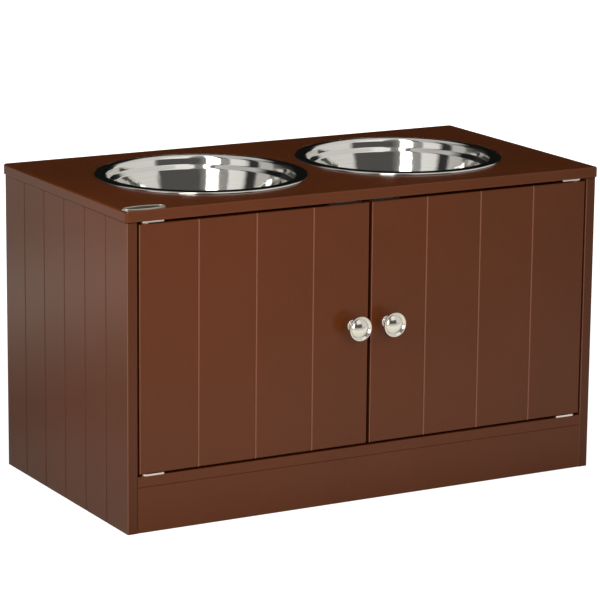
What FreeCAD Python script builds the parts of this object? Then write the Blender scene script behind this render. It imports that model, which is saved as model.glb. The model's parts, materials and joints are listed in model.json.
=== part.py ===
import FreeCAD
import Part
import math
import os

# Raised feeding cabinet for a dog: two lift-out bowls in the top, a storage space behind two doors below.
# Millimetres. X runs to the right, Y to the back and Z up. Zero is on the floor, below the middle of the top.

# Boards
top_length = 600.0
top_depth = 320.0
overall_height = 355.0
board_thickness = 12.0
top_overhang = 2.0
plinth_height = 51.0

# Softened board edges
top_corner_radius = 4.0
top_edge_round = 2.2
under_edge_round = 0.8
board_edge_round = 1.2

# Grooves that divide a board into planks
groove_width = 2.4
groove_depth = 0.95
door_planks = 4
side_planks = 6

# Gaps at the doors
door_side_gap = 2.4
door_centre_gap = 3.8
top_washer_thickness = 1.3
bottom_washer_thickness = 0.6

# Pivot hinges
leaf_thickness = 2.0
leaf_reach = 20.5
cabinet_leaf_width = 12.0
door_leaf_width = 8.0
leaf_corner_radius = 1.5
leaf_setback = 0.3
pin_inset = 9.5
pin_radius = 2.0
pin_tip = 1.2
pin_end_round = 0.5
washer_land = 1.6
leaf_screw_shares = (0.42, 0.82)

# Wood screws for the leaves, the strike plates and the catches
screw_shank_radius = 1.4
screw_head_radius = 2.4
screw_head_height = 0.8
pan_head_height = 1.6
screw_length = 10.0
screw_tip = 2.0
recess_width = 0.6
recess_depth_share = 0.6
recess_span_share = 1.3

# Magnetic catches
catch_offset = 24.0
catch_body_width = 24.0
catch_body_depth = 15.0
catch_body_height = 12.0
catch_ear = 9.0
catch_ear_thickness = 2.5
catch_edge_round = 1.0
catch_gap = 0.3
pole_plate_length = 19.0
pole_plate_depth = 11.0
pole_plate_thickness = 1.0
pole_plate_stand_out = 0.8
magnet_thickness = 4.0
magnet_setback = 1.5

# Strike plates on the backs of the doors
strike_length = 30.0
strike_height = 12.0
strike_thickness = 1.2
strike_corner_radius = 2.0

# Knobs
knob_from_middle = 22.0
knob_projection = 21.8
knob_disc_radius = 13.8
knob_disc_edge = 2.2
knob_rim_width = 1.2
knob_moat_width = 2.2
knob_moat_depth = 1.6
knob_dome_height = 2.2
knob_foot_radius = 6.8
knob_foot_height = 2.2
knob_waist_radius = 3.9
knob_waist_length = 5.4
knob_edge_round = 0.8
knob_rim_round = 0.3
knob_foot_round = 0.9
knob_waist_round = 0.8
knob_screw_reach_share = 0.85
knob_bore_depth = 9.0
knob_screw_radius = 2.0
knob_screw_head_radius = 4.0
knob_screw_head_height = 2.4

# Bowls
bowl_gap = 17.0
bowl_rim_radius = 120.0
bowl_flange_width = 13.0
bowl_crown_inset = 2.4
bowl_sheet = 0.8
bowl_lip_height = 1.6
bowl_crown_height = 3.2
bowl_flange_fall = 1.15
bowl_collar_height = 8.0
bowl_collar_lean = 1.8
bowl_step = 4.0
bowl_step_height = 4.4
bowl_depth = 70.0
bowl_wall_lean = 13.0
bowl_lip_round = 1.5
bowl_crown_round = 4.0
bowl_mouth_round = 6.4
bowl_step_round = 3.0
bowl_floor_round = 14.0
bowl_hole_clearance = 1.5

# Knock-down fittings
cam_radius = 6.0
cam_depth = 9.5
cam_distance = 22.0
cam_recess_width = 1.4
cam_recess_depth = 2.0
cam_recess_share = 0.7
bolt_thread_radius = 2.5
bolt_thread_length = 8.0
bolt_shank_radius = 2.0
bolt_head_radius = 2.9
bolt_head_height = 3.0
bolt_neck_radius = 1.5
bolt_neck_length = 2.4
dowel_radius = 3.0
dowel_length = 24.0
dowel_in_face = 8.0
dowel_chamfer = 0.8

# Places of the fittings, as shares of the board's half length from its middle
side_cam_shares = (-0.62, 0.62)
back_cam_shares = (-0.55, 0.60)
long_dowel_shares = (-0.55, 0.55)

# Blank oval plate on the top
plate_length = 50.8
plate_width = 17.6
plate_thickness = 2.1
plate_rim = 1.3
plate_field_depth = 0.6
plate_sink = 0.5
plate_from_left = 26.3
plate_from_front = 11.5

# Fits
fit_clearance = 0.05
running_clearance = 0.08
pocket_clearance = 0.5
overrun = 5.0
reach_share = 0.49
lone_reach_share = 0.98
straight_share = 0.5

# Worked out from the sizes above
body_width = top_length - 2 * top_overhang
body_depth = top_depth - 2 * top_overhang
body_height = overall_height - board_thickness
half_width = body_width / 2
front_y = -body_depth / 2
back_y = body_depth / 2
inner_half_width = half_width - board_thickness
inner_back_y = back_y - board_thickness
floor_top_z = plinth_height + board_thickness
door_top_gap = leaf_thickness + top_washer_thickness
door_bottom_gap = leaf_thickness + bottom_washer_thickness
door_width = inner_half_width - door_side_gap - door_centre_gap / 2
door_low_z = floor_top_z + door_bottom_gap
door_high_z = body_height - door_top_gap
door_back_y = front_y + board_thickness
knob_z = (door_low_z + door_high_z) / 2
pin_y = front_y + leaf_setback + cabinet_leaf_width / 2
pin_x = inner_half_width - door_side_gap - pin_inset
bowl_x = bowl_rim_radius + bowl_gap / 2
bowl_mouth_radius = bowl_rim_radius - bowl_flange_width
bowl_hole_radius = bowl_mouth_radius + bowl_sheet + bowl_hole_clearance
catch_front_y = door_back_y + strike_thickness + catch_gap
catch_mid_z = body_height - catch_body_height / 2

X = FreeCAD.Vector(1, 0, 0)
Y = FreeCAD.Vector(0, 1, 0)
Z = FreeCAD.Vector(0, 0, 1)
SIDES = {"left": -1, "right": 1}


def block(low, high):
    """A plain block between two corners, given in any order."""
    near = [min(a, b) for a, b in zip(low, high)]
    far = [max(a, b) for a, b in zip(low, high)]
    sizes = [b - a for a, b in zip(near, far)]
    return Part.makeBox(*sizes, FreeCAD.Vector(*near))


def soften(shape, radius, wanted):
    """Rounds the straight edges that wanted(middle point, direction) picks."""
    picked = []
    for edge in shape.Edges:
        if edge.Curve.TypeId != "Part::GeomLine":
            continue
        direction = edge.tangentAt(edge.FirstParameter)
        if wanted(edge.CenterOfMass, direction):
            picked.append(edge)
    return shape.makeFillet(radius, picked)


def runs_along(way, axis):
    """Whether a direction runs along an axis, either way."""
    return abs(way.dot(axis)) > straight_share


def free_share(next_radius):
    """Share of a straight run that a rounding may take, by the radius of the corner at its other end."""
    return reach_share if next_radius else lone_reach_share


def rounded_wire(points, radii, closed):
    """Straight runs between (across, up) points in the XZ plane, each corner rounded by its own radius."""
    spots = [FreeCAD.Vector(a, 0, b) for a, b in points]
    count = len(spots)
    starts = []
    ends = []
    arcs = []
    for i in range(count):
        corner = spots[i]
        at_end = not closed and i in (0, count - 1)
        if at_end or radii[i] == 0:
            starts.append(corner)
            ends.append(corner)
            arcs.append(None)
            continue
        back = (spots[i - 1] - corner).normalize()
        onward = (spots[(i + 1) % count] - corner).normalize()
        half_turn = math.acos(max(-1.0, min(1.0, back.dot(onward)))) / 2
        before = (spots[i - 1] - corner).Length * free_share(radii[i - 1])
        after = (spots[(i + 1) % count] - corner).Length * free_share(radii[(i + 1) % count])
        reach = min(radii[i] / math.tan(half_turn), before, after)
        radius = reach * math.tan(half_turn)
        middle = (back + onward).normalize()
        to_centre = radius / math.sin(half_turn)
        starts.append(corner + back * reach)
        ends.append(corner + onward * reach)
        top = corner + middle * (to_centre - radius)
        arcs.append(top)
    edges = []
    last = count if closed else count - 1
    for i in range(count):
        if arcs[i] is not None:
            edges.append(Part.Arc(starts[i], arcs[i], ends[i]).toShape())
        if i < last:
            edges.append(Part.LineSegment(ends[i], starts[(i + 1) % count]).toShape())
    return Part.Wire(edges)


def turned(points, radii=None):
    """A solid turned about Z from a closed outline of (radius, height) points."""
    rounds = radii or [0] * len(points)
    face = Part.Face(rounded_wire(points, rounds, True))
    return face.revolve(FreeCAD.Vector(0, 0, 0), Z, 360)


def round_bar(radius, start, end):
    """A plain round bar about Z, from one height to another."""
    low = min(start, end)
    return Part.makeCylinder(radius, abs(end - start), FreeCAD.Vector(0, 0, low), Z)


def placed(shape, origin, along, side):
    """A shape drawn at zero, moved to origin with its Z along one direction and its X along the other."""
    moved = shape.copy()
    turn = FreeCAD.Rotation(side, along.cross(side), along, "ZXY")
    moved.Placement = FreeCAD.Placement(origin, turn).multiply(moved.Placement)
    return moved


def cut_all(shape, cutters):
    """The shape with every cutter taken out of it."""
    if not cutters:
        return shape
    return shape.cut(cutters)


def save(name, solids):
    """Writes one piece, or a group of like pieces, under its name."""
    shape = solids[0] if len(solids) == 1 else Part.makeCompound(solids)
    shape.exportStep("parts/" + name + ".step")


# Screws, dowels and cam fittings


def cross_recess(radius, height):
    """Cutter for a cross-shaped driver recess in a head that ends at zero."""
    arm = radius * recess_span_share / 2
    half = recess_width / 2
    deep = height * recess_depth_share
    bar = block((-arm, -half, -overrun), (arm, half, deep))
    other = block((-half, -arm, -overrun), (half, arm, deep))
    return bar.fuse(other)


def flat_screw():
    """Countersunk screw with its flat head at zero, driven along Z."""
    body = turned([
        (0, 0),
        (screw_head_radius, 0),
        (screw_shank_radius, screw_head_height),
        (screw_shank_radius, screw_length - screw_tip),
        (0, screw_length),
    ])
    return body.cut(cross_recess(screw_head_radius, screw_head_height))


def flat_screw_hole():
    """Cutter for the countersunk hole of a flat screw."""
    return turned([
        (0, -overrun),
        (screw_head_radius + fit_clearance, -overrun),
        (screw_head_radius + fit_clearance, 0),
        (screw_shank_radius + fit_clearance, screw_head_height),
        (screw_shank_radius + fit_clearance, screw_length),
        (0, screw_length),
    ])


def pan_screw(shank_radius, head_radius, head_height, length, tip):
    """Pan-head screw whose head rests on the plane at zero and whose shank runs along Z."""
    body = turned([
        (0, -head_height),
        (head_radius, -head_height),
        (head_radius, 0),
        (shank_radius, 0),
        (shank_radius, length - tip),
        (shank_radius - min(tip, shank_radius) / 2, length),
        (0, length),
    ], [0, head_height / 2, 0, 0, 0, 0, 0])
    recess = cross_recess(head_radius, head_height)
    recess.translate(FreeCAD.Vector(0, 0, -head_height))
    return body.cut(recess)


def cam_bolt():
    """Bolt of a knock-down fitting: threaded below zero, with its ball end in the cam."""
    neck = cam_distance - bolt_head_height / 2
    return turned([
        (0, -bolt_thread_length),
        (bolt_thread_radius, -bolt_thread_length),
        (bolt_thread_radius, 0),
        (bolt_shank_radius, 0),
        (bolt_shank_radius, neck - bolt_neck_length),
        (bolt_neck_radius, neck - bolt_neck_length),
        (bolt_neck_radius, neck),
        (bolt_head_radius, neck),
        (bolt_head_radius, neck + bolt_head_height),
        (0, neck + bolt_head_height),
    ])


def cam_disc():
    """Cam that pulls the bolt's head. Its open face lies on the board's face, on the X side."""
    face_x = board_thickness / 2
    body = Part.makeCylinder(cam_radius, cam_depth, FreeCAD.Vector(face_x - cam_depth, 0, cam_distance), X)
    channel = round_bar(bolt_head_radius + running_clearance, 0, cam_distance + bolt_head_height)
    arm = cam_radius * cam_recess_share
    half = cam_recess_width / 2
    deep = face_x - cam_recess_depth
    upright = block((deep, -half, cam_distance - arm), (face_x + overrun, half, cam_distance + arm))
    level = block((deep, -arm, cam_distance - half), (face_x + overrun, arm, cam_distance + half))
    return body.cut([channel, upright, level])


def cam_edge_cutter():
    """Cutter in the board that holds the cam: its pocket and the bolt's way in from the edge."""
    face_x = board_thickness / 2
    start = FreeCAD.Vector(face_x - cam_depth, 0, cam_distance)
    pocket = Part.makeCylinder(cam_radius + fit_clearance, cam_depth + overrun, start, X)
    channel = round_bar(bolt_head_radius + running_clearance, -overrun, cam_distance)
    return pocket.fuse(channel)


def cam_face_cutter():
    """Cutter in the board that holds the bolt's thread."""
    return round_bar(bolt_thread_radius + fit_clearance, -bolt_thread_length, overrun)


def dowel():
    """Round dowel, part in a board's face below zero and the rest in the other board's edge."""
    low = -dowel_in_face
    high = dowel_length - dowel_in_face
    return turned([
        (0, low),
        (dowel_radius - dowel_chamfer, low),
        (dowel_radius, low + dowel_chamfer),
        (dowel_radius, high - dowel_chamfer),
        (dowel_radius - dowel_chamfer, high),
        (0, high),
    ])


def dowel_cutter():
    """Cutter for a dowel in either board."""
    radius = dowel_radius + fit_clearance
    return round_bar(radius, -dowel_in_face, dowel_length - dowel_in_face)


def cam_places():
    """Each cam fitting: face board, edge board, point on the joint, way into the edge, side of the cam."""
    places = []
    mid = board_thickness / 2
    half_depth = body_depth / 2
    for name, s in SIDES.items():
        panel = name + "_side_panel"
        joint_x = s * inner_half_width
        inward = X * -s
        for share in side_cam_shares:
            y = share * half_depth
            low = FreeCAD.Vector(joint_x, y, plinth_height + mid)
            places.append((panel, "bottom_board", low, inward, -Z))
            high = FreeCAD.Vector(s * (half_width - mid), y, body_height)
            places.append(("top_board", panel, high, -Z, inward))
        for share in back_cam_shares:
            z = body_height / 2 * (1 + share)
            places.append((panel, "back_panel", FreeCAD.Vector(joint_x, back_y - mid, z), inward, -Y))
        low = FreeCAD.Vector(joint_x, front_y + mid, plinth_height / 2)
        places.append((panel, "plinth", low, inward, Y))
    return places


def dowel_places():
    """Each dowel: face board, edge board, point on the joint, way into the edge."""
    places = []
    mid = board_thickness / 2
    for name, s in SIDES.items():
        panel = name + "_side_panel"
        low = FreeCAD.Vector(s * inner_half_width, 0, plinth_height + mid)
        places.append((panel, "bottom_board", low, X * -s))
        high = FreeCAD.Vector(s * (half_width - mid), 0, body_height)
        places.append(("top_board", panel, high, -Z))
    for share in long_dowel_shares:
        x = share * inner_half_width
        at_top = FreeCAD.Vector(x, back_y - mid, body_height)
        places.append(("top_board", "back_panel", at_top, -Z))
        at_back = FreeCAD.Vector(x, inner_back_y, plinth_height + mid)
        places.append(("back_panel", "bottom_board", at_back, -Y))
        at_front = FreeCAD.Vector(x, front_y + mid, plinth_height)
        places.append(("bottom_board", "plinth", at_front, -Z))
    return places


def joinery():
    """All cam bolts, cam discs and dowels, and the cutters that each board needs for them."""
    bolts = []
    discs = []
    dowels = []
    cutters = {}
    for face_board, edge_board, point, along, side in cam_places():
        bolts.append(placed(cam_bolt(), point, along, side))
        discs.append(placed(cam_disc(), point, along, side))
        cutters.setdefault(face_board, []).append(placed(cam_face_cutter(), point, along, side))
        cutters.setdefault(edge_board, []).append(placed(cam_edge_cutter(), point, along, side))
    for face_board, edge_board, point, along in dowel_places():
        across = Y if abs(along.dot(Y)) < abs(along.dot(X) + along.dot(Z)) else X
        dowels.append(placed(dowel(), point, along, across))
        for board in (face_board, edge_board):
            cutters.setdefault(board, []).append(placed(dowel_cutter(), point, along, across))
    return bolts, discs, dowels, cutters


# Boards


def groove(length):
    """V-shaped cutter along Z that opens towards Y below zero."""
    half = groove_width / 2
    rise = overrun * half / groove_depth
    corners = [
        FreeCAD.Vector(0, groove_depth, 0),
        FreeCAD.Vector(half + rise, -overrun, 0),
        FreeCAD.Vector(-half - rise, -overrun, 0),
    ]
    face = Part.Face(Part.makePolygon(corners + corners[:1]))
    return face.extrude(Z * length)


def top_board(cutters):
    """Top with a round hole for each bowl and a shallow seat for the oval plate."""
    half_x = top_length / 2
    half_y = top_depth / 2
    board = block((-half_x, -half_y, body_height), (half_x, half_y, overall_height))
    board = soften(board, top_corner_radius, lambda at, way: runs_along(way, Z))
    rims = []
    for edge in board.Edges:
        if abs(edge.CenterOfMass.z - overall_height) < fit_clearance:
            rims.append(edge)
    board = board.makeFillet(top_edge_round, rims)
    rims = []
    for edge in board.Edges:
        if abs(edge.CenterOfMass.z - body_height) < fit_clearance:
            rims.append(edge)
    board = board.makeFillet(under_edge_round, rims)
    holes = []
    for s in SIDES.values():
        hole = round_bar(bowl_hole_radius, body_height - overrun, overall_height + overrun)
        hole.translate(X * s * bowl_x)
        holes.append(hole)
    seat = oval(plate_length / 2 + fit_clearance, plate_width / 2 + fit_clearance, plate_sink + overrun)
    seat.translate(plate_centre() - Z * plate_sink)
    return cut_all(board, holes + [seat] + cutters)


def side_panel(s, cutters):
    """Side panel down to the floor, with upright grooves outside."""
    board = block((s * inner_half_width, front_y, 0), (s * half_width, back_y, body_height))
    middle = s * (half_width - board_thickness / 2)

    def upright(at, way):
        """The long edges, but not the inner one at the back."""
        inner = s * (at.x - middle) < 0
        return runs_along(way, Z) and not (inner and at.y > 0)

    board = soften(board, board_edge_round, upright)
    grooves = []
    plank = body_depth / side_planks
    for i in range(1, side_planks):
        at = FreeCAD.Vector(s * half_width, front_y + i * plank, -overrun)
        grooves.append(placed(groove(body_height + 2 * overrun), at, Z, Y * s))
    return cut_all(board, grooves + cutters)


def bottom_board(cutters):
    """Floor of the storage space, its front edge level with the sides."""
    board = block((-inner_half_width, front_y, plinth_height), (inner_half_width, inner_back_y, floor_top_z))
    board = soften(board, under_edge_round, lambda at, way: runs_along(way, X) and at.y < 0)
    return cut_all(board, cutters)


def plinth(cutters):
    """Kick board below the floor of the storage space."""
    board = block((-inner_half_width, front_y, 0), (inner_half_width, door_back_y, plinth_height))
    reach_y = front_y + fit_clearance
    board = soften(board, under_edge_round, lambda at, way: runs_along(way, X) and at.y < reach_y)
    return cut_all(board, cutters)


def back_panel(cutters):
    """Back between the sides, from the floor to the top."""
    board = block((-inner_half_width, inner_back_y, 0), (inner_half_width, back_y, body_height))
    return cut_all(board, cutters)


def door(s, cutters):
    """Door board with upright grooves in front."""
    outer = s * (inner_half_width - door_side_gap)
    free = s * door_centre_gap / 2
    board = block((free, front_y, door_low_z), (outer, door_back_y, door_high_z))
    board = soften(board, board_edge_round, lambda at, way: at.y < front_y + fit_clearance)
    grooves = []
    plank = door_width / door_planks
    for i in range(1, door_planks):
        at = FreeCAD.Vector(free + s * i * plank, front_y, door_low_z - overrun)
        grooves.append(placed(groove(door_high_z - door_low_z + 2 * overrun), at, Z, X))
    return cut_all(board, grooves + cutters)


# Oval plate


def oval(half_long, half_wide, height):
    """Upright prism with an oval outline."""
    curve = Part.Ellipse(FreeCAD.Vector(0, 0, 0), half_long, half_wide)
    return Part.Face(Part.Wire([curve.toShape()])).extrude(Z * height)


def plate_centre():
    """Middle of the oval plate on the top board's face."""
    x = -top_length / 2 + plate_from_left
    y = -top_depth / 2 + plate_from_front
    return FreeCAD.Vector(x, y, overall_height)


def oval_plate():
    """Blank oval plate with a raised rim, let into the top."""
    body = oval(plate_length / 2, plate_width / 2, plate_thickness)
    field = oval(plate_length / 2 - plate_rim, plate_width / 2 - plate_rim, overrun)
    field.translate(Z * (plate_thickness - plate_field_depth))
    body = body.cut(field)
    body.translate(plate_centre() - Z * plate_sink)
    return body


# Hinges


def leaf_screw_places():
    """Distances of the leaves' screws from the pin."""
    return [share * leaf_reach for share in leaf_screw_shares]


def leaf_blank(width, spare, start):
    """Outline of a leaf about its pin, running along X, with room to spare round it, from start to its back."""
    half = width / 2 + spare
    strip = block((0, -half, start), (leaf_reach + spare, half, leaf_thickness))

    def far_corner(at, way):
        """The two upright edges away from the pin."""
        return runs_along(way, Z) and at.x > half

    strip = soften(strip, leaf_corner_radius, far_corner)
    return strip.fuse(round_bar(half, start, leaf_thickness)).removeSplitter()


def leaf(width):
    """Hinge leaf of one width, its outer face at zero, with holes for the pin and the screws."""
    cutters = [round_bar(pin_radius + running_clearance, -overrun, leaf_thickness + overrun)]
    for x in leaf_screw_places():
        hole = flat_screw_hole()
        hole.translate(X * x)
        cutters.append(hole)
    return leaf_blank(width, 0, 0).cut(cutters)


def hinge(s, end):
    """One pivot hinge, at the top (end 1) or bottom (end -1) of a door, and the cutters for the boards.

    Its narrower leaf is let into the door, and the wider one lies in the gap.
    """
    cabinet_z = body_height if end > 0 else floor_top_z
    door_z = door_high_z if end > 0 else door_low_z
    washer_thickness = top_washer_thickness if end > 0 else bottom_washer_thickness
    cabinet_face = FreeCAD.Vector(s * pin_x, pin_y, cabinet_z - end * leaf_thickness)
    door_face = FreeCAD.Vector(s * pin_x, pin_y, door_z)
    inward = X * -s
    to_cabinet = Z * end
    to_door = Z * -end
    screws_cabinet = []
    screws_door = []
    cuts_cabinet = []
    cuts_door = []
    for x in leaf_screw_places():
        offset = inward * x
        screws_cabinet.append(placed(flat_screw(), cabinet_face + offset, to_cabinet, inward))
        cuts_cabinet.append(placed(flat_screw_hole(), cabinet_face + offset, to_cabinet, inward))
        screws_door.append(placed(flat_screw(), door_face + offset, to_door, inward))
        cuts_door.append(placed(flat_screw_hole(), door_face + offset, to_door, inward))
    through = 2 * leaf_thickness + washer_thickness
    pin_end = through + pin_tip
    pin = turned([
        (0, 0),
        (pin_radius, 0),
        (pin_radius, pin_end),
        (0, pin_end),
    ], [0, 0, pin_end_round, 0])
    seat = leaf_blank(door_leaf_width, fit_clearance, -overrun)
    pocket = round_bar(pin_radius + pocket_clearance, 0, leaf_thickness + pin_tip + pocket_clearance)
    washer = round_bar(pin_radius + washer_land, 0, washer_thickness)
    washer = washer.cut(round_bar(pin_radius + running_clearance, -overrun, washer_thickness + overrun))
    board_face = FreeCAD.Vector(s * pin_x, pin_y, cabinet_z)
    cuts_door.append(placed(seat, door_face, to_door, inward))
    cuts_door.append(placed(pocket, door_face, to_door, inward))
    return {
        "cabinet_leaf": placed(leaf(cabinet_leaf_width), cabinet_face, to_cabinet, inward),
        "door_leaf": placed(leaf(door_leaf_width), door_face, to_door, inward),
        "pin": placed(pin, board_face, to_door, inward),
        "washer": placed(washer, cabinet_face, to_door, inward),
        "screws_cabinet": screws_cabinet,
        "screws_door": screws_door,
        "cuts_cabinet": cuts_cabinet,
        "cuts_door": cuts_door,
    }


# Catches and strike plates


def catch(s):
    """Magnetic catch below the top, behind the free edge of a door, and the cutters for the top."""
    mid_x = s * catch_offset
    half = catch_body_width / 2
    face_y = catch_front_y + pole_plate_stand_out
    low_z = body_height - catch_body_height
    body = block((mid_x - half, face_y, low_z), (mid_x + half, face_y + catch_body_depth, body_height))
    body = soften(body, catch_edge_round, lambda at, way: at.z < low_z + fit_clearance)
    ear_y = face_y + catch_body_depth
    ear_z = body_height - catch_ear_thickness
    ears = block((mid_x - half - catch_ear, face_y, ear_z), (mid_x + half + catch_ear, ear_y, body_height))
    ears = soften(ears, catch_edge_round, lambda at, way: runs_along(way, Z))
    stack = magnet_thickness / 2 + pole_plate_thickness
    plate_half = pole_plate_length / 2
    plate_back = catch_front_y + pole_plate_depth
    pocket = block(
        (mid_x - plate_half - fit_clearance, face_y - overrun, catch_mid_z - stack - fit_clearance),
        (mid_x + plate_half + fit_clearance, plate_back + fit_clearance, catch_mid_z + stack + fit_clearance),
    )
    plates = []
    for up in (-1, 1):
        near = catch_mid_z + up * magnet_thickness / 2
        far = catch_mid_z + up * stack
        plates.append(block((mid_x - plate_half, catch_front_y, near), (mid_x + plate_half, plate_back, far)))
    magnet = block(
        (mid_x - plate_half, catch_front_y + magnet_setback, catch_mid_z - magnet_thickness / 2),
        (mid_x + plate_half, plate_back, catch_mid_z + magnet_thickness / 2),
    )
    screws = []
    holes = []
    for ear in (-1, 1):
        x = mid_x + ear * (half + catch_ear / 2)
        at = FreeCAD.Vector(x, face_y + catch_body_depth / 2, ear_z)
        screw = pan_screw(screw_shank_radius, screw_head_radius, pan_head_height, screw_length, screw_tip)
        screws.append(placed(screw, at, Z, X))
        hole = round_bar(screw_shank_radius + fit_clearance, -overrun, screw_length)
        holes.append(placed(hole, at, Z, X))
    housing = body.fuse(ears).removeSplitter().cut([pocket] + holes)
    return {"housing": housing, "magnet": magnet, "plates": plates, "screws": screws, "holes": holes}


def strike(s):
    """Strike plate at the upper edge of a door's back, its screw, and the cutter for the door."""
    mid_x = s * catch_offset
    half = strike_length / 2
    low_z = door_high_z - strike_height
    far_y = door_back_y + strike_thickness
    plate = block((mid_x - half, door_back_y, low_z), (mid_x + half, far_y, door_high_z))
    plate = soften(plate, strike_corner_radius, lambda at, way: runs_along(way, Y))
    at = FreeCAD.Vector(mid_x, far_y, low_z + strike_height / 2)
    hole = placed(flat_screw_hole(), at, -Y, X)
    return plate.cut(hole), placed(flat_screw(), at, -Y, X), hole


# Knobs


def knob():
    """Turned knob that stands out along Z: foot on the door, waist, and a disc with a dome inside its rim."""
    waist_z = knob_foot_height + knob_waist_length
    rim_z = knob_projection - knob_dome_height
    dish_radius = knob_disc_radius - knob_rim_width
    dome_edge = dish_radius - knob_moat_width
    dome_rise = knob_dome_height + knob_moat_depth
    span = dome_edge ** 2 + dome_rise ** 2
    points = [
        (0, knob_bore_depth),
        (knob_screw_radius + fit_clearance, knob_bore_depth),
        (knob_screw_radius + fit_clearance, 0),
        (knob_foot_radius, 0),
        (knob_foot_radius, knob_foot_height),
        (knob_waist_radius, knob_foot_height),
        (knob_waist_radius, waist_z),
        (knob_disc_radius, rim_z - knob_disc_edge),
        (knob_disc_radius, rim_z),
        (dish_radius, rim_z),
        (dome_edge, rim_z - knob_moat_depth),
        (span / 2 / dome_edge, knob_projection),
        (0, knob_projection),
    ]
    rounds = [
        0, 0, 0, 0, knob_foot_round, knob_waist_round, knob_waist_round, knob_edge_round,
        knob_edge_round, knob_rim_round, 0, span / 2 / dome_rise, 0,
    ]
    return turned(points, rounds)


def knob_set(s):
    """Knob and its screw in place on a door, and the cutter for the door."""
    x = s * knob_from_middle
    front = FreeCAD.Vector(x, front_y, knob_z)
    back = FreeCAD.Vector(x, door_back_y, knob_z)
    length = board_thickness + knob_bore_depth * knob_screw_reach_share
    screw = pan_screw(knob_screw_radius, knob_screw_head_radius, knob_screw_head_height, length, screw_tip)
    hole = round_bar(knob_screw_radius + fit_clearance, -overrun, board_thickness + overrun)
    return placed(knob(), front, -Y, X), placed(screw, back, -Y, X), placed(hole, back, -Y, X)


# Bowls


def bowl():
    """Pressed bowl about Z, one sheet thick, with its lip's lower edge at zero."""
    neck = bowl_mouth_radius - bowl_collar_lean
    body = neck - bowl_step
    points = [
        (bowl_rim_radius, 0),
        (bowl_rim_radius, bowl_lip_height),
        (bowl_rim_radius - bowl_crown_inset, bowl_crown_height - bowl_flange_fall),
        (bowl_mouth_radius, bowl_crown_height),
        (neck, -bowl_collar_height),
        (body, -bowl_collar_height - bowl_step_height),
        (body - bowl_wall_lean, -bowl_depth),
        (0, -bowl_depth),
    ]
    rounds = [
        0, bowl_lip_round, bowl_crown_round, bowl_mouth_round, bowl_step_round, bowl_step_round,
        bowl_floor_round, 0,
    ]
    path = rounded_wire(points, rounds, False)
    sheet = path.makeOffset2D(bowl_sheet, 0, True, True, True)
    return sheet.revolve(FreeCAD.Vector(0, 0, 0), Z, 360)


def main():
    """Builds every piece and writes it."""
    os.makedirs("parts", exist_ok=True)
    bolts, discs, dowels, cutters = joinery()
    save("cam_bolts", bolts)
    save("cam_discs", discs)
    save("dowels", dowels)
    washers = []
    cabinet_screws = []
    catch_screws = []
    for name, s in SIDES.items():
        door_cuts = []
        door_screws = []
        for end_name, end in (("top", 1), ("bottom", -1)):
            made = hinge(s, end)
            board = "top_board" if end > 0 else "bottom_board"
            label = "hinge_" + end_name + "_" + name
            save(label + "_cabinet_leaf", [made["cabinet_leaf"]])
            save(label + "_door_leaf", [made["door_leaf"]])
            save(label + "_pin", [made["pin"]])
            washers.append(made["washer"])
            cabinet_screws += made["screws_cabinet"]
            door_screws += made["screws_door"]
            cutters.setdefault(board, []).extend(made["cuts_cabinet"])
            door_cuts += made["cuts_door"]
        held = catch(s)
        save("catch_housing_" + name, [held["housing"]])
        save("catch_magnet_" + name, [held["magnet"]])
        save("catch_pole_plates_" + name, held["plates"])
        catch_screws += held["screws"]
        cutters["top_board"].extend(held["holes"])
        plate, plate_screw, plate_hole = strike(s)
        save("strike_plate_" + name, [plate])
        save("strike_screw_" + name, [plate_screw])
        grip, grip_screw, grip_hole = knob_set(s)
        save("knob_" + name, [grip])
        save("knob_screw_" + name, [grip_screw])
        save("hinge_screws_door_" + name, door_screws)
        save("door_" + name, [door(s, door_cuts + [plate_hole, grip_hole])])
        dish = bowl()
        dish.translate(FreeCAD.Vector(s * bowl_x, 0, overall_height))
        save("bowl_" + name, [dish])
        save(name + "_side_panel", [side_panel(s, cutters[name + "_side_panel"])])
    save("hinge_washers", washers)
    save("hinge_screws_cabinet", cabinet_screws)
    save("catch_screws", catch_screws)
    save("top_board", [top_board(cutters["top_board"])])
    save("bottom_board", [bottom_board(cutters["bottom_board"])])
    save("plinth", [plinth(cutters["plinth"])])
    save("back_panel", [back_panel(cutters["back_panel"])])
    save("oval_plate", [oval_plate()])


main()
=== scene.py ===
import json
import math

import bpy
from mathutils import Matrix, Vector


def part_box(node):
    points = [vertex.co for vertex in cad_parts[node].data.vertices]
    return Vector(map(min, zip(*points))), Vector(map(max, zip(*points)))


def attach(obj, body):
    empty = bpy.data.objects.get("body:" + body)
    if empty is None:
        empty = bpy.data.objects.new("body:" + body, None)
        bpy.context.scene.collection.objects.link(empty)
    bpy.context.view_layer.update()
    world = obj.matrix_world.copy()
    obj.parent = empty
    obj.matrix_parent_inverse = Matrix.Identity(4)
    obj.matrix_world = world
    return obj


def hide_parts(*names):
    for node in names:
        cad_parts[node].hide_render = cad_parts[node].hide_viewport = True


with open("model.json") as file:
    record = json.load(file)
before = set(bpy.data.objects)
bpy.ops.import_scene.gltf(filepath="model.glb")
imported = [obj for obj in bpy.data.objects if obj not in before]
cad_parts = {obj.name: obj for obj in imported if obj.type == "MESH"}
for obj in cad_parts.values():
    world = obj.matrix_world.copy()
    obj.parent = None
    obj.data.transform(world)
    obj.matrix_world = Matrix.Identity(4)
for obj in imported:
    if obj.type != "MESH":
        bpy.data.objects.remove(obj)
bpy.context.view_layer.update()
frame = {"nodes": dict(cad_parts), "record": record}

# Raised feeding cabinet for a dog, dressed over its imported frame. Metres, with +Z up.

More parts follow.
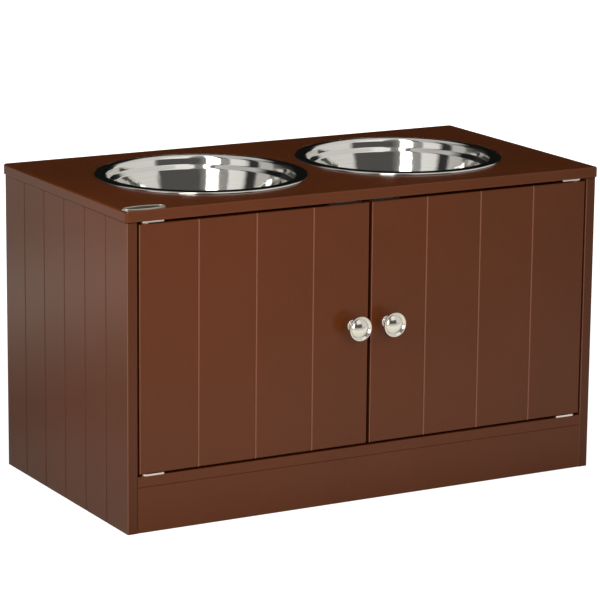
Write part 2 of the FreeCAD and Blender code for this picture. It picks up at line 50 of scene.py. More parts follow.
# Camera that sees the object as the photograph does
frame_pixels = 600
focal_pixels = 3065.37
sensor_width = 36.0
camera_place = Vector((-1.68678, -3.00257, 0.98306))
camera_yaw = 0.5119
camera_pitch = 0.2244
camera_roll = 0.0098
camera_clip = (0.05, 200.0)

# Bowls: outline of the upper, visible side of the sheet
bowl_rim_radius = 0.120
bowl_flange_width = 0.013
bowl_crown_inset = 0.0024
bowl_sheet = 0.0008
bowl_lip_height = 0.0016
bowl_flange_fall = 0.00115
bowl_crown_height = 0.0032
bowl_collar_height = 0.008
bowl_collar_lean = 0.0018
bowl_step = 0.004
bowl_step_height = 0.0044
bowl_depth = 0.070
bowl_wall_lean = 0.013
bowl_lip_round = 0.0015
bowl_crown_round = 0.004
bowl_mouth_round = 0.0064
bowl_step_round = 0.003
bowl_floor_round = 0.014
bowl_segments = 256
sheet_inwards = -1.0

# Knobs: outline from the door outwards
knob_disc_radius = 0.0138
knob_disc_edge = 0.0022
knob_rim_width = 0.0012
knob_moat_width = 0.0022
knob_moat_depth = 0.0016
knob_dome_height = 0.0022
knob_foot_radius = 0.0068
knob_foot_height = 0.0022
knob_waist_radius = 0.0039
knob_waist_length = 0.0054
knob_edge_round = 0.0008
knob_rim_round = 0.0003
knob_foot_round = 0.0009
knob_waist_round = 0.0008
knob_segments = 160

# Oval plate
plate_rim = 0.0013
plate_field_depth = 0.0006
plate_edge_round = 0.0005
plate_field_round = plate_edge_round / 3
plate_segments = 160

# Outlines: points per rounding, the shares of a straight run that roundings may take, and the
# smallest radius that isn't on the axis
arc_steps = 10
reach_share = 0.49
lone_reach_share = 0.98
axis_radius = 1e-7
crisp_angle = math.radians(50)

# Noise: the part of its range that the surfaces use
noise_low = 0.3
noise_high = 0.7

# Lacquer, and where it differs: painted shade in the grooves, the seam below the top and on front
# faces, and painted highlights on edges
lacquer_dark = (0.116, 0.0285, 0.0071, 1.0)
lacquer_light = (0.128, 0.0315, 0.0079, 1.0)
lacquer_index = 1.5
lacquer_gloss = 0.25
lacquer_smoothest = 0.17
lacquer_roughest = 0.22
grain_noise = (0.35, 0.65)
grain_tones = (0.97, 1.03)
side_planks = 6
plank_blend = 0.05
groove_half = 0.0012
groove_depth = 0.002
groove_wall = 0.0005
groove_blur = 0.2
# painted shade: tone in the side grooves and in the seam below the top
groove_shade_tone = 0.5
groove_gloss = 0.03
# painted shadow: height of the dark strip on the sides just below the top board
seam_height = 0.0014
# painted shade: tone on the sides' faces that point forward
front_shade_tone = 0.8
# painted highlight: paler brown for the boards' rounded front edges that face left
edge_highlight_colour = (0.25, 0.093, 0.054, 1.0)
# painted highlight: tone raised by this factor on the boards' front edges that face right
edge_highlight_lift = 1.25

# Parts of the surface's normal between which an edge or a front face of the boards begins
left_edge = (-0.55, -0.3)
right_edge = (0.3, 0.55)
front_edge = (-0.35, -0.2)
front_face = (-0.9, -0.6)

# Metals, plastics, magnet, wood and enamel, as colours on the screen
steel_dark = (222, 220, 215)
steel_light = (232, 231, 227)
chrome_colour = (234, 230, 222)
plate_colour = (206, 203, 193)
zinc_colour = (196, 200, 206)
# nickel's own warm grey with a painted pink reflection of the brown lacquer
nickel_and_reflection_colour = (236, 224, 218)
nylon_colour = (214, 212, 206)
plastic_colour = (138, 146, 158)
ferrite_dark = (38, 38, 41)
ferrite_light = (66, 66, 70)
beech_dark = (170, 128, 84)
beech_light = (204, 166, 120)
enamel_dark = (30, 26, 25)
enamel_light = (46, 41, 39)

# Polished steel: roughness from smooth to rough, and rings per metre
steel_smoothest = 0.05
steel_roughest = 0.09
ring_density = 2400.0

# Floor: its size, the glow that the eye sees near the object and where it turns white, and its
# greys for the eye and for the light that it throws back
floor_half = 30.0
floor_gap = 0.0003
floor_glow = 0.92
floor_near = 0.5
floor_far = 1.2
floor_seen = (0.35, 0.35, 0.35, 1.0)
floor_pale = (0.8, 0.8, 0.8, 1.0)
white = (1.0, 1.0, 1.0, 1.0)

# Floor as metal and lacquer see it, painted light with painted shade near the object: (depth,
# brightness), with minus in front of the object, and the depth that the ramp between them reaches
# to
floor_reach = 2.0
floor_bands = (
    (-1.6, 0.55), (-1.3, 0.64), (-0.93, 0.77), (-0.52, 1.0), (-0.28, 0.86), (-0.12, 0.45),
    (0.2, 0.40), (0.38, 0.28), (0.6, 0.44), (0.95, 0.88), (1.12, 0.84), (1.35, 0.52), (1.7, 0.62),
)
floor_warmth = (1.0, 0.975, 0.88, 1.0)

# Lamps, facing one point: name, azimuth, elevation, distance, width, height and radiance
light_aim = Vector((0.0, -0.01, 0.18))
lamps = (
    ("key", 60.0, 29.0, 0.85, 0.57, 0.57, 2.9),
    ("front", 5.0, 14.0, 0.85, 0.57, 0.57, 2.3),
    ("front_high", -5.0, 35.0, 0.85, 0.57, 0.57, 0.5),
    ("corner", 80.0, 6.0, 0.62, 0.3, 0.3, 0.9),
    ("overhead", 10.0, 84.0, 1.2, 0.5, 0.5, 2.7),
    ("back_left", 175.0, 14.0, 2.6, 1.6, 1.2, 3.4),
    ("back_right", -150.0, 14.0, 2.6, 1.6, 1.2, 3.4),
    ("right_fill", -98.0, 12.0, 2.6, 1.4, 1.2, 4.5),
)

# Room: its even light on the object, and the tint of the studio in metal
room_colour = (1.0, 0.99, 0.98, 1.0)
room_strength = 0.06
studio_tint = (1.0, 0.985, 0.95, 1.0)

# Studio as metal sees it, from low to high: (azimuth, brightness). Azimuth 0 is in front, and
# plus is to the left. The heights at which one band gives way to the next are elevations.
studio_bands = (
    (-180, 0.02), (-172, 0.006), (-128, 0.006), (-110, 0.03), (-103, 0.72), (-34, 0.76),
    (-28, 0.09), (24, 0.09), (34, 0.28), (36, 5.0), (49, 5.0), (51, 0.35), (62, 0.32),
    (65, 0.90), (84, 0.85), (91, 0.03), (102, 0.04), (107, 0.55), (125, 0.50), (131, 0.14),
    (150, 0.04), (180, 0.02),
)
studio_upper_bands = (
    (-180, 0.01), (-128, 0.01), (-108, 0.50), (-100, 0.70), (-34, 0.70), (-28, 1.0), (9, 1.0),
    (13, 0.22), (34, 0.24), (36.5, 5.0), (48.5, 5.0), (51, 0.16), (61, 0.16), (64, 0.60),
    (84, 0.50), (90, 0.04), (101, 0.04), (106, 0.35), (128, 0.25), (140, 0.01), (180, 0.01),
)
studio_high_bands = (
    (-180, 0.62), (-150, 0.60), (-100, 0.70), (-34, 0.70), (-28, 1.0), (9, 1.0), (13, 0.22),
    (34, 0.24), (36.5, 5.0), (48.5, 5.0), (51, 0.16), (61, 0.16), (64, 0.60), (100, 0.50),
    (150, 0.55), (180, 0.62),
)
studio_middle = 27.0
studio_middle_blur = 3.0
studio_high = 46.0
studio_high_blur = 5.0
studio_top = 80.0
studio_top_blur = 4.0
studio_ceiling = 0.7

# Outer sides, read from the frame
side_low, side_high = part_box("left_side_panel")
plank_width = (side_high.y - side_low.y) / side_planks
cad_side_front = side_low.y
cad_side_face = -side_low.x
cad_side_top = side_high.z


def linear(colour):
    """Linear colour of a screen colour given as 0 to 255."""
    made = []
    for value in colour:
        share = value / 255
        made.append(share / 12.92 if share <= 0.04045 else ((share + 0.055) / 1.055) ** 2.4)
    return (*made, 1.0)


def darker(colour, share):
    """A solid colour made darker to a share."""
    return tuple(share * c for c in colour[:3]) + (1.0,)


def placed(name, data):
    """A new object in the scene."""
    made = bpy.data.objects.new(name, data)
    bpy.context.scene.collection.objects.link(made)
    return made


# Materials


class Paint:
    """A material's node tree, with short calls for the nodes that the materials share."""

    def __init__(self, name):
        self.material = bpy.data.materials.new(name)
        self.material.use_nodes = True
        self.nodes = self.material.node_tree.nodes
        self.links = self.material.node_tree.links
        self.shader = self.nodes["Principled BSDF"]

    def set(self, **values):
        """Constants on the shader's own sockets."""
        for name, value in values.items():
            self.shader.inputs[name.replace("_", " ")].default_value = value

    def feed(self, socket, value):
        """Gives an input a value, or links it from another socket."""
        if isinstance(value, bpy.types.NodeSocket):
            self.links.new(value, socket)
        else:
            socket.default_value = value

    def node(self, kind, **inputs):
        """A node of a kind, its inputs given by name as values or as sockets to link from."""
        made = self.nodes.new(kind)
        for name, value in inputs.items():
            self.feed(made.inputs[name], value)
        return made

    def math(self, operation, first, second=0.0, third=0.0):
        """The result of one sum."""
        made = self.nodes.new("ShaderNodeMath")
        made.operation = operation
        for socket, value in zip(made.inputs, (first, second, third)):
            self.feed(socket, value)
        return made.outputs[0]

    def place(self):
        """The point on the surface in the piece's own frame, in metres."""
        return self.nodes.new("ShaderNodeTexCoord").outputs["Object"]

    def split(self, vector):
        """The three parts of a vector."""
        return self.node("ShaderNodeSeparateXYZ", Vector=vector).outputs

    def joined(self, x, y, z):
        """A vector from its three parts."""
        return self.node("ShaderNodeCombineXYZ", X=x, Y=y, Z=z).outputs[0]

    def stretched(self, *scales):
        """The point on the surface, scaled by its own factor along each axis."""
        parts = zip(self.split(self.place()), scales)
        return self.joined(*(self.math("MULTIPLY", part, scale) for part, scale in parts))

    def noise(self, vector, scale, detail=2.0, roughness=0.5):
        """Noise from 0 to 1."""
        made = self.node(
            "ShaderNodeTexNoise", Vector=vector, Scale=scale, Detail=detail, Roughness=roughness
        )
        return made.outputs["Fac"]

    def mixed(self, share, first, second):
        """One colour turned into another by a share."""
        made = self.nodes.new("ShaderNodeMix")
        made.data_type = "RGBA"
        self.feed(made.inputs["Factor"], share)
        self.feed(made.inputs[6], first)
        self.feed(made.inputs[7], second)
        return made.outputs[2]

    def layered(self, share, first, second):
        """One shader turned into another by a share."""
        made = self.node("ShaderNodeMixShader", Fac=share)
        self.links.new(first.outputs[0], made.inputs[1])
        self.links.new(second.outputs[0], made.inputs[2])
        return made

    def scaled(self, colour, factor):
        """A colour made lighter or darker by a factor."""
        made = self.nodes.new("ShaderNodeVectorMath")
        made.operation = "SCALE"
        self.links.new(colour, made.inputs[0])
        self.links.new(factor, made.inputs["Scale"])
        return made.outputs[0]

    def ramp(self, factor, *stops):
        """A colour from a factor, through (place, colour) stops."""
        made = self.node("ShaderNodeValToRGB", Fac=factor)
        elements = made.color_ramp.elements
        for i, (place, colour) in enumerate(stops):
            element = elements[i] if i < 2 else elements.new(place)
            element.position = place
            element.color = colour
        return made.outputs["Color"]

    def span(self, value, low, high, to_low, to_high):
        """A value moved from one range to another, and kept in it."""
        made = self.node("ShaderNodeMapRange", Value=value)
        made.inputs["From Min"].default_value = low
        made.inputs["From Max"].default_value = high
        made.inputs["To Min"].default_value = to_low
        made.inputs["To Max"].default_value = to_high
        return made.outputs[0]

    def away(self, x, y):
        """Distance from the piece's upright axis."""
        squares = self.math("ADD", self.math("MULTIPLY", x, x), self.math("MULTIPLY", y, y))
        return self.math("SQRT", squares)

    def tinted(self, noise, dark, light):
        """Base colour that follows a noise from dark to light."""
        self.wire(self.ramp(noise, (noise_low, dark), (noise_high, light)), "Base Color")

    def worn(self, noise, smoothest, roughest):
        """Roughness that follows a noise from its smoothest to its roughest."""
        self.wire(self.span(noise, noise_low, noise_high, smoothest, roughest), "Roughness")

    def bump(self, height, distance, strength=1.0, normal=None):
        """A normal disturbed by a height from 0 to 1 over a distance in metres."""
        made = self.node("ShaderNodeBump", Height=height, Distance=distance, Strength=strength)
        if normal is not None:
            self.links.new(normal, made.inputs["Normal"])
        return made.outputs["Normal"]

    def wire(self, socket, name):
        """Links a socket to one of the shader's."""
        self.links.new(socket, self.shader.inputs[name])


def lacquer(name, grooves=False):
    """Satin brown lacquer on fibreboard: fine orange peel, and slight clouds in colour and gloss.

    The boards' rounded front edges carry a painted highlight: a paler colour where they face left
    and a lighter tone where they face right. On the sides the grooves and the seam below the top
    carry painted shade and less gloss, and the sides' front faces are painted darker as shade.
    """
    paint = Paint(name)
    paint.set(IOR=lacquer_index, Specular_IOR_Level=lacquer_gloss)
    place = paint.place()
    clouds = paint.noise(place, scale=9.0, detail=3.0)
    grain = paint.noise(place, scale=420.0, detail=3.0, roughness=0.6)
    clouded = paint.span(clouds, noise_low, noise_high, 0.0, 1.0)
    colour = paint.ramp(clouded, (0.0, lacquer_dark), (1.0, lacquer_light))
    tone = paint.span(grain, *grain_noise, *grain_tones)
    normal = paint.nodes.new("ShaderNodeTexCoord").outputs["Normal"]
    sideways, ahead = paint.split(normal)[:2]
    slanted = paint.span(ahead, *front_edge, 1.0, 0.0)
    # painted highlight on the boards' rounded front edges: paler colour where they face left,
    # lighter tone where they face right
    lit_edge = paint.math("MULTIPLY", paint.span(sideways, *left_edge, 1.0, 0.0), slanted)
    right_highlight_edge = paint.math("MULTIPLY", paint.span(sideways, *right_edge, 0.0, 1.0), slanted)
    x, y, z = paint.split(place)
    lit_edge = paint.math("MULTIPLY", lit_edge, paint.math("LESS_THAN", z, cad_side_top))
    colour = paint.mixed(lit_edge, colour, edge_highlight_colour)
    # painted highlight: lighter tone on the front edges that face right
    tone = paint.math("MULTIPLY", tone, paint.span(right_highlight_edge, 0.0, 1.0, 1.0, edge_highlight_lift))
    if grooves:
        along = paint.math("DIVIDE", paint.math("SUBTRACT", y, cad_side_front), plank_width)
        beside = paint.math("MULTIPLY", paint.math("PINGPONG", along, 0.5), plank_width)
        first_plank = cad_side_front + plank_width / 2
        first_blend = first_plank + plank_width * plank_blend
        inside = paint.span(y, first_plank, first_blend, 1.0, 0.0)
        edges = paint.math("MAXIMUM", beside, inside)
        sunk = cad_side_face - groove_depth
        inner = paint.span(paint.math("ABSOLUTE", x), sunk, sunk + groove_wall, 1.0, 0.0)
        beyond = paint.math("MAXIMUM", edges, inner)
        # painted shadow in the seam just below the top board's overhang
        seam = cad_side_top - seam_height
        below = paint.span(z, seam, seam + seam_height * groove_blur, 1.0, 0.0)
        blur = groove_half * groove_blur
        flat = paint.span(beyond, groove_half - blur, groove_half + blur, 0.0, 1.0)
        open_face = paint.math("MINIMUM", flat, below)
        # painted shade in the grooves and the seam below the top, with less gloss there
        painted_shade = paint.span(open_face, 0.0, 1.0, groove_shade_tone, 1.0)
        gloss = paint.span(open_face, 0.0, 1.0, groove_gloss, lacquer_gloss)
        paint.wire(gloss, "Specular IOR Level")
        # painted shade: the sides' front faces darker
        front = paint.span(ahead, *front_face, front_shade_tone, 1.0)
        tone = paint.math("MULTIPLY", tone, paint.math("MULTIPLY", painted_shade, front))
    paint.wire(paint.scaled(colour, tone), "Base Color")
    paint.worn(clouds, lacquer_smoothest, lacquer_roughest)
    peel = paint.noise(place, scale=260.0, roughness=0.55)
    waves = paint.noise(place, scale=28.0, detail=1.0, roughness=0.4)
    soft = paint.bump(waves, distance=0.0003, strength=0.15)
    paint.wire(paint.bump(peel, distance=0.00004, strength=0.15, normal=soft), "Normal")
    return paint.material


def spun_steel():
    """Polished stainless steel with the fine rings of its spinning about the piece's axis."""
    paint = Paint("polished_steel")
    paint.set(Metallic=1.0)
    place = paint.place()
    x, y, z = paint.split(place)
    angle = paint.math("ARCTAN2", y, x)
    across = paint.math("MULTIPLY", paint.away(x, y), ring_density)
    upward = paint.math("MULTIPLY", z, ring_density)
    turned = paint.joined(across, angle, upward)
    rings = paint.noise(turned, scale=1.0, detail=3.0, roughness=0.7)
    dents = paint.noise(place, scale=50.0)
    paint.tinted(rings, linear(steel_dark), linear(steel_light))
    paint.worn(rings, steel_smoothest, steel_roughest)
    waved = paint.bump(dents, distance=0.0008, strength=0.3)
    paint.wire(paint.bump(rings, distance=0.00001, strength=0.25, normal=waved), "Normal")
    return paint.material


def bright_plate(name, colour, roughness, marks):
    """Plated metal with faint casting waves and fine marks."""
    paint = Paint(name)
    paint.set(Metallic=1.0)
    place = paint.place()
    fine = paint.noise(place, scale=900.0, detail=3.0, roughness=0.6)
    waves = paint.noise(place, scale=120.0, detail=1.0)
    paint.tinted(fine, darker(colour, 0.92), colour)
    paint.worn(fine, roughness, roughness + marks)
    paint.wire(paint.bump(waves, distance=0.0001, strength=0.1), "Normal")
    return paint.material


def brushed_plate(name, colour, roughness, marks):
    """Rolled strip or wire, plated, with fine lines along X."""
    paint = Paint(name)
    paint.set(Metallic=1.0)
    drawn = paint.stretched(60.0, 2500.0, 2500.0)
    lines = paint.noise(drawn, scale=1.0, detail=3.0, roughness=0.65)
    paint.tinted(lines, darker(colour, 0.85), colour)
    paint.worn(lines, roughness, roughness + marks)
    paint.wire(paint.bump(lines, distance=0.00002, strength=0.4), "Normal")
    return paint.material


def moulded(name, colour, roughness, marks):
    """Plain moulded plastic with a fine spark-eroded grain."""
    paint = Paint(name)
    grain = paint.noise(paint.place(), scale=1400.0, roughness=0.6)
    paint.tinted(grain, darker(colour, 0.94), colour)
    paint.worn(grain, roughness, roughness + marks)
    paint.wire(paint.bump(grain, distance=0.00004, strength=0.5), "Normal")
    return paint.material


def ferrite():
    """Dark sintered magnet."""
    paint = Paint("ferrite")
    grain = paint.noise(paint.place(), scale=1800.0, detail=4.0, roughness=0.7)
    colour = paint.ramp(grain, (noise_low, linear(ferrite_dark)), (0.75, linear(ferrite_light)))
    paint.wire(colour, "Base Color")
    paint.worn(grain, smoothest=0.5, roughest=0.75)
    paint.wire(paint.bump(grain, distance=0.00005, strength=0.6), "Normal")
    return paint.material


def bare_beech():
    """Pale turned beech with short dark rays."""
    paint = Paint("bare_beech")
    grown = paint.stretched(900.0, 900.0, 120.0)
    rays = paint.noise(grown, scale=1.0, detail=4.0, roughness=0.65)
    colour = paint.ramp(rays, (0.35, linear(beech_dark)), (0.65, linear(beech_light)))
    paint.wire(colour, "Base Color")
    paint.set(Roughness=0.7)
    paint.wire(paint.bump(rays, distance=0.0001, strength=0.4), "Normal")
    return paint.material


def dark_enamel():
    """Near-black enamel in the sunken field of the oval plate."""
    paint = Paint("dark_enamel")
    clouds = paint.noise(paint.place(), scale=700.0, detail=3.0, roughness=0.6)
    paint.tinted(clouds, linear(enamel_dark), linear(enamel_light))
    paint.worn(clouds, smoothest=0.22, roughest=0.34)
    paint.wire(paint.bump(clouds, distance=0.00003, strength=0.4), "Normal")
    return paint.material


def dress(piece, *materials):
    """Gives a piece its materials, one per slot."""
    piece.data.materials.clear()
    for material in materials:
        piece.data.materials.append(material)


# Turned and swept shapes


def free_share(next_radius):
    """Share of a straight run that a rounding may take, by the radius at the run's other end."""
    return reach_share if next_radius else lone_reach_share


def rounded(points, rounds):
    """An open outline of (across, up) points, each corner rounded by its own radius or less."""
    spots = [Vector(p) for p in points]
    path = [spots[0]]
    for i in range(1, len(spots) - 1):
        corner = spots[i]
        if rounds[i] == 0:
            path.append(corner)
            continue
        back = spots[i - 1] - corner
        onward = spots[i + 1] - corner
        room_back = back.length * free_share(rounds[i - 1])
        room_on = onward.length * free_share(rounds[i + 1])
        half_turn = back.angle(onward) / 2
        reach = min(rounds[i] / math.tan(half_turn), room_back, room_on)
        radius = reach * math.tan(half_turn)
        inward = (back.normalized() + onward.normalized()).normalized()
        centre = corner + inward * radius / math.sin(half_turn)
        start = corner + back.normalized() * reach - centre
        end = corner + onward.normalized() * reach - centre
        turn = start.angle_signed(end)
        for step in range(arc_steps + 1):
            share = turn * -step / arc_steps
            cos, sin = math.cos(share), math.sin(share)
            spoke = Vector((start.x * cos - start.y * sin, start.x * sin + start.y * cos))
            path.append(centre + spoke)
    path.append(spots[-1])
    return path


def revolved(name, path, segments):
    """A surface of an outline turned about Z, with one point where the outline meets the axis."""
    points = []
    rows = []
    for spot in path:
        if abs(spot.x) < axis_radius:
            rows.append([len(points)] * segments)
            points.append((0, 0, spot.y))
            continue
        rows.append(list(range(len(points), len(points) + segments)))
        for i in range(segments):
            angle = 2 * math.pi * i / segments
            points.append((spot.x * math.cos(angle), spot.x * math.sin(angle), spot.y))
    faces = []
    for low, high in zip(rows, rows[1:]):
        for i in range(segments):
            j = (i + 1) % segments
            face = list(dict.fromkeys([low[i], low[j], high[j], high[i]]))
            if len(face) > 2:
                faces.append(face)
    mesh = bpy.data.meshes.new(name)
    mesh.from_pydata(points, [], faces)
    mesh.validate()
    mesh.polygons.foreach_set("use_smooth", [True] * len(mesh.polygons))
    mesh.update()
    return placed(name, mesh)


def middle(node):
    """Centre of a node's box."""
    low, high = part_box(node)
    return (low + high) / 2


def bowl(side, material):
    """Lift-out bowl: falling flange with a turned-down lip, collar, step, wall and flat floor."""
    node = "bowl_" + side
    mouth = bowl_rim_radius - bowl_flange_width
    neck = mouth - bowl_collar_lean
    body = neck - bowl_step
    points = [
        (bowl_rim_radius, 0),
        (bowl_rim_radius, bowl_lip_height),
        (bowl_rim_radius - bowl_crown_inset, bowl_crown_height - bowl_flange_fall),
        (mouth, bowl_crown_height),
        (neck, -bowl_collar_height),
        (body, -bowl_collar_height - bowl_step_height),
        (body - bowl_wall_lean, -bowl_depth),
        (0, -bowl_depth),
    ]
    rounds = [
        0, bowl_lip_round, bowl_crown_round, bowl_mouth_round, bowl_step_round, bowl_step_round,
        bowl_floor_round, 0,
    ]
    piece = revolved("steel_" + node, rounded(points, rounds), bowl_segments)
    thick = piece.modifiers.new("sheet", "SOLIDIFY")
    thick.thickness = bowl_sheet
    thick.offset = sheet_inwards
    thick.use_even_offset = True
    piece.location = middle(node)
    piece.location.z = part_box("top_board")[1].z
    dress(piece, material)
    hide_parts(node)
    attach(piece, node)


def knob(side, material):
    """Turned knob: foot on the door, waist, and a disc with a dome inside its raised rim."""
    node = "knob_" + side
    front = -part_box("door_" + side)[0].y
    reach = -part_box(node)[0].y - front
    waist = knob_foot_height + knob_waist_length
    rim = reach - knob_dome_height
    dish = knob_disc_radius - knob_rim_width
    dome_edge = dish - knob_moat_width
    dome_rise = knob_dome_height + knob_moat_depth
    chord_squared = dome_edge ** 2 + dome_rise ** 2
    points = [
        (0, 0),
        (knob_foot_radius, 0),
        (knob_foot_radius, knob_foot_height),
        (knob_waist_radius, knob_foot_height),
        (knob_waist_radius, waist),
        (knob_disc_radius, rim - knob_disc_edge),
        (knob_disc_radius, rim),
        (dish, rim),
        (dome_edge, rim - knob_moat_depth),
        (chord_squared / 2 / dome_edge, reach),
        (0, reach),
    ]
    rounds = [
        0, 0, knob_foot_round, knob_waist_round, knob_waist_round, knob_edge_round,
        knob_edge_round, knob_rim_round, 0, chord_squared / 2 / dome_rise, 0,
    ]
    piece = revolved("turned_" + node, rounded(points, rounds), knob_segments)
    piece.data.set_sharp_from_angle(angle=crisp_angle)
    centre = middle(node)
    turn = Matrix(((1, 0, 0), (0, 0, -1), (0, 1, 0))).to_4x4()
    piece.matrix_world = Matrix.Translation((centre.x, -front, centre.z)) @ turn
    dress(piece, material)
    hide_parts(node)
    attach(piece, "door_" + side)


def oval_ring(half_long, half_wide, inset, height):
    """One oval ring of points, an inset in from the plate's outline, at a height."""
    points = []
    for i in range(plate_segments):
        angle = 2 * math.pi * i / plate_segments
        along = Vector((half_wide * math.cos(angle), half_long * math.sin(angle))).normalized()
        x = half_long * math.cos(angle) - along.x * inset
        y = half_wide * math.sin(angle) - along.y * inset
        points.append((x, y, height))
    return points


def oval_plate(metal, enamel):
    """Blank oval plate: rounded raised rim of metal round a sunken dark field."""
    low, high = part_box("oval_plate")
    half = (high - low) / 2
    thick = high.z - low.z
    field = thick - plate_field_depth
    outline = rounded(
        [(0, 0), (0, thick), (plate_rim, thick), (plate_rim, field), (plate_rim * 2, field)],
        [0, plate_edge_round, plate_edge_round, plate_field_round, 0],
    )
    points = []
    for spot in outline:
        points += oval_ring(half.x, half.y, spot.x, spot.y)
    faces = []
    for ring in range(len(outline) - 1):
        for i in range(plate_segments):
            j = (i + 1) % plate_segments
            outer = ring * plate_segments
            inner = outer + plate_segments
            faces.append([outer + i, outer + j, inner + j, inner + i])
    rim_faces = len(faces) - plate_segments
    faces.append(list(range(len(points) - plate_segments, len(points))))
    faces.append(list(reversed(range(plate_segments))))
    mesh = bpy.data.meshes.new("oval_badge_blank")
    mesh.from_pydata(points, [], faces)
    for i, face in enumerate(mesh.polygons):
        face.use_smooth = i < len(faces) - 2
        face.material_index = 1 if rim_faces <= i < len(faces) - 1 else 0
    mesh.update()
    mesh.set_sharp_from_angle(angle=crisp_angle)
    piece = placed("blank_oval_plate", mesh)
    piece.location = ((low.x + high.x) / 2, (low.y + high.y) / 2, low.z)
    dress(piece, metal, enamel)
    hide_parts("oval_plate")
    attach(piece, "cabinet")


def dress_frame(by_slot):
    """Gives every node of the frame the material of its slot."""
    for part in frame["record"]["subparts"]:
        dress(frame["nodes"][part["node"]], by_slot[part["material_slot"]])


# Stage and light


def stage_floor():
    """Wide pale floor: white to the eye with the soft shadow, and banded to metal and lacquer as
    painted light with painted shade near the object.
    """
    mesh = bpy.data.meshes.new("floor")
    half = floor_half
    corners = [(-half, -half, 0), (half, -half, 0), (half, half, 0), (-half, half, 0)]
    mesh.from_pydata(corners, [], [(0, 1, 2, 3)])
    floor = placed("floor", mesh)
    floor.location.z = -floor_gap
    paint = Paint("pale_floor")
    rays = paint.nodes.new("ShaderNodeLightPath").outputs
    mirrored = paint.math("MAXIMUM", rays["Is Glossy Ray"], rays["Is Transmission Ray"])
    x, y = paint.split(paint.place())[:2]
    # painted reflection: brightness bands by depth, with painted shade near the object, seen only
    # by glossy and transmission rays
    near = paint.ramp(
        paint.span(y, -floor_reach, floor_reach, 0.0, 1.0),
        *((spot / floor_reach / 2 + 0.5, (value,) * 3 + (1.0,)) for spot, value in floor_bands),
    )
    thin = paint.node("ShaderNodeBsdfDiffuse", Color=floor_seen)
    strength = paint.span(paint.away(x, y), floor_near, floor_far, floor_glow, 1.0)
    glow = paint.node("ShaderNodeEmission", Strength=strength)
    bright = paint.nodes.new("ShaderNodeAddShader")
    paint.links.new(thin.outputs[0], bright.inputs[0])
    paint.links.new(glow.outputs[0], bright.inputs[1])
    lit = paint.node("ShaderNodeEmission", Color=floor_warmth, Strength=near)
    pale = paint.node("ShaderNodeBsdfDiffuse", Color=floor_pale)
    unseen = paint.layered(mirrored, pale, lit)
    surface = paint.layered(rays["Is Camera Ray"], unseen, bright)
    paint.links.new(surface.outputs[0], paint.nodes["Material Output"].inputs["Surface"])
    paint.material.cycles.emission_sampling = "NONE"
    dress(floor, paint.material)


class Sky(Paint):
    """The world's node tree, with the same short calls."""

    def __init__(self, world):
        world.use_nodes = True
        self.nodes = world.node_tree.nodes
        self.links = world.node_tree.links


def band(sky, along, table):
    """Brightness round the object, from a table of azimuths and brightnesses."""
    brightest = max(value for place, value in table)
    curve = sky.nodes.new("ShaderNodeFloatCurve")
    sky.links.new(along, curve.inputs["Value"])
    points = curve.mapping.curves[0].points
    for i, (place, value) in enumerate(table):
        spot = ((place + 180) / 360, value / brightest)
        if i == 0:
            points[0].location = spot
        elif i == len(table) - 1:
            points[-1].location = spot
        else:
            points.new(*spot)
    for point in points:
        point.handle_type = "VECTOR"
    curve.mapping.update()
    return sky.math("MULTIPLY", curve.outputs[0], brightest)


def blend(sky, low, high, height, start, width):
    """One brightness below a height and another above it, with a soft change between."""
    above = sky.span(height, math.radians(start - width), math.radians(start + width), 0.0, 1.0)
    below = sky.math("MULTIPLY", low, sky.math("SUBTRACT", 1.0, above))
    return sky.math("MULTIPLY_ADD", above, high, below)


def studio(sky):
    """Brightness of the studio by direction: three rings of bands, and a ceiling."""
    x, y, z = sky.split(sky.nodes.new("ShaderNodeTexCoord").outputs["Generated"])
    azimuth = sky.math("ARCTAN2", sky.math("MULTIPLY", x, -1.0), sky.math("MULTIPLY", y, -1.0))
    along = sky.span(azimuth, -math.pi, math.pi, 0.0, 1.0)
    height = sky.math("ARCSINE", z)
    low = band(sky, along, studio_bands)
    upper = band(sky, along, studio_upper_bands)
    high = band(sky, along, studio_high_bands)
    sides = blend(sky, low, upper, height, studio_middle, studio_middle_blur)
    sides = blend(sky, sides, high, height, studio_high, studio_high_blur)
    return blend(sky, sides, studio_ceiling, height, studio_top, studio_top_blur)


def world_light():
    """Even dim room, the studio as metal sees it, and white where the eye looks past the floor."""
    world = bpy.data.worlds.new("studio")
    bpy.context.scene.world = world
    sky = Sky(world)
    rays = sky.nodes.new("ShaderNodeLightPath").outputs
    room = sky.nodes["Background"]
    room.inputs["Color"].default_value = room_colour
    room.inputs["Strength"].default_value = room_strength
    shiny = sky.node("ShaderNodeBackground", Color=studio_tint, Strength=studio(sky))
    backdrop = sky.node("ShaderNodeBackground", Color=white, Strength=1.0)
    unseen = sky.layered(rays["Is Glossy Ray"], room, shiny)
    surface = sky.layered(rays["Is Camera Ray"], unseen, backdrop)
    sky.links.new(surface.outputs[0], sky.nodes["World Output"].inputs["Surface"])
    world.cycles.sampling_method = "NONE"


def softbox(name, azimuth, elevation, distance, width, height, radiance):
    """A lit panel that faces the object. Azimuth 0 is in front, and plus is to the left."""
    lamp = bpy.data.lights.new(name, "AREA")
    lamp.shape = "RECTANGLE"
    lamp.size = width
    lamp.size_y = height
    lamp.energy = radiance * math.pi * width * height
    panel = placed(name, lamp)
    panel.visible_camera = False
    panel.visible_glossy = False
    turn = math.radians(azimuth)
    rise = math.radians(elevation)
    level = math.cos(rise)
    away = Vector((-math.sin(turn) * level, -math.cos(turn) * level, math.sin(rise)))
    panel.location = light_aim + away * distance
    panel.rotation_euler = away.to_track_quat("Z", "Y").to_euler()


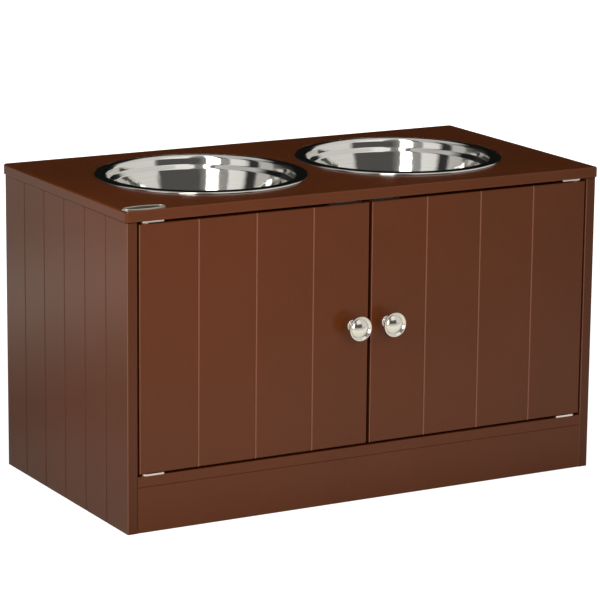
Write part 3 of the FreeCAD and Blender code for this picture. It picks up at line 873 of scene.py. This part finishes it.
def photo_camera():
    """Camera at the photograph's place and angle."""
    data = bpy.data.cameras.new("photo_camera")
    data.sensor_width = sensor_width
    data.lens = focal_pixels / frame_pixels * sensor_width
    data.clip_start, data.clip_end = camera_clip
    camera = placed("photo_camera", data)
    cos_pitch = math.cos(camera_pitch)
    sin_yaw, cos_yaw = math.sin(camera_yaw), math.cos(camera_yaw)
    ahead = Vector((sin_yaw * cos_pitch, cos_yaw * cos_pitch, -math.sin(camera_pitch)))
    level = Vector((cos_yaw, -sin_yaw, 0))
    upright = level.cross(ahead)
    right = level * math.cos(camera_roll) + upright * math.sin(camera_roll)
    up = upright * math.cos(camera_roll) - level * math.sin(camera_roll)
    turn = Matrix((right, up, -ahead)).transposed().to_4x4()
    camera.matrix_world = Matrix.Translation(camera_place) @ turn
    bpy.context.scene.camera = camera


def main():
    """Dresses the frame, adds the turned pieces and sets the stage."""
    steel = spun_steel()
    chrome = bright_plate("chrome", linear(chrome_colour), roughness=0.11, marks=0.05)
    zinc = brushed_plate("zinc_plate", linear(zinc_colour), roughness=0.28, marks=0.14)
    nickel = brushed_plate("nickel_plate", linear(nickel_and_reflection_colour), roughness=0.22, marks=0.14)
    dress_frame({
        "board": lacquer("brown_lacquer"),
        "bowl_steel": steel,
        "chrome": chrome,
        "hinge_nickel": nickel,
        "zinc": zinc,
        "washer_nylon": moulded("nylon", linear(nylon_colour), roughness=0.45, marks=0.1),
        "catch_plastic": moulded("grey_plastic", linear(plastic_colour), roughness=0.4, marks=0.1),
        "magnet": ferrite(),
        "beech": bare_beech(),
    })
    grooved = lacquer("grooved_lacquer", grooves=True)
    for side in ("left", "right"):
        dress(frame["nodes"][side + "_side_panel"], grooved)
        bowl(side, steel)
        knob(side, chrome)
    plate_metal = bright_plate("plate_metal", linear(plate_colour), roughness=0.28, marks=0.06)
    oval_plate(plate_metal, dark_enamel())
    stage_floor()
    world_light()
    for lamp in lamps:
        softbox(*lamp)
    photo_camera()
    bpy.context.scene.view_settings.view_transform = "Standard"


main()
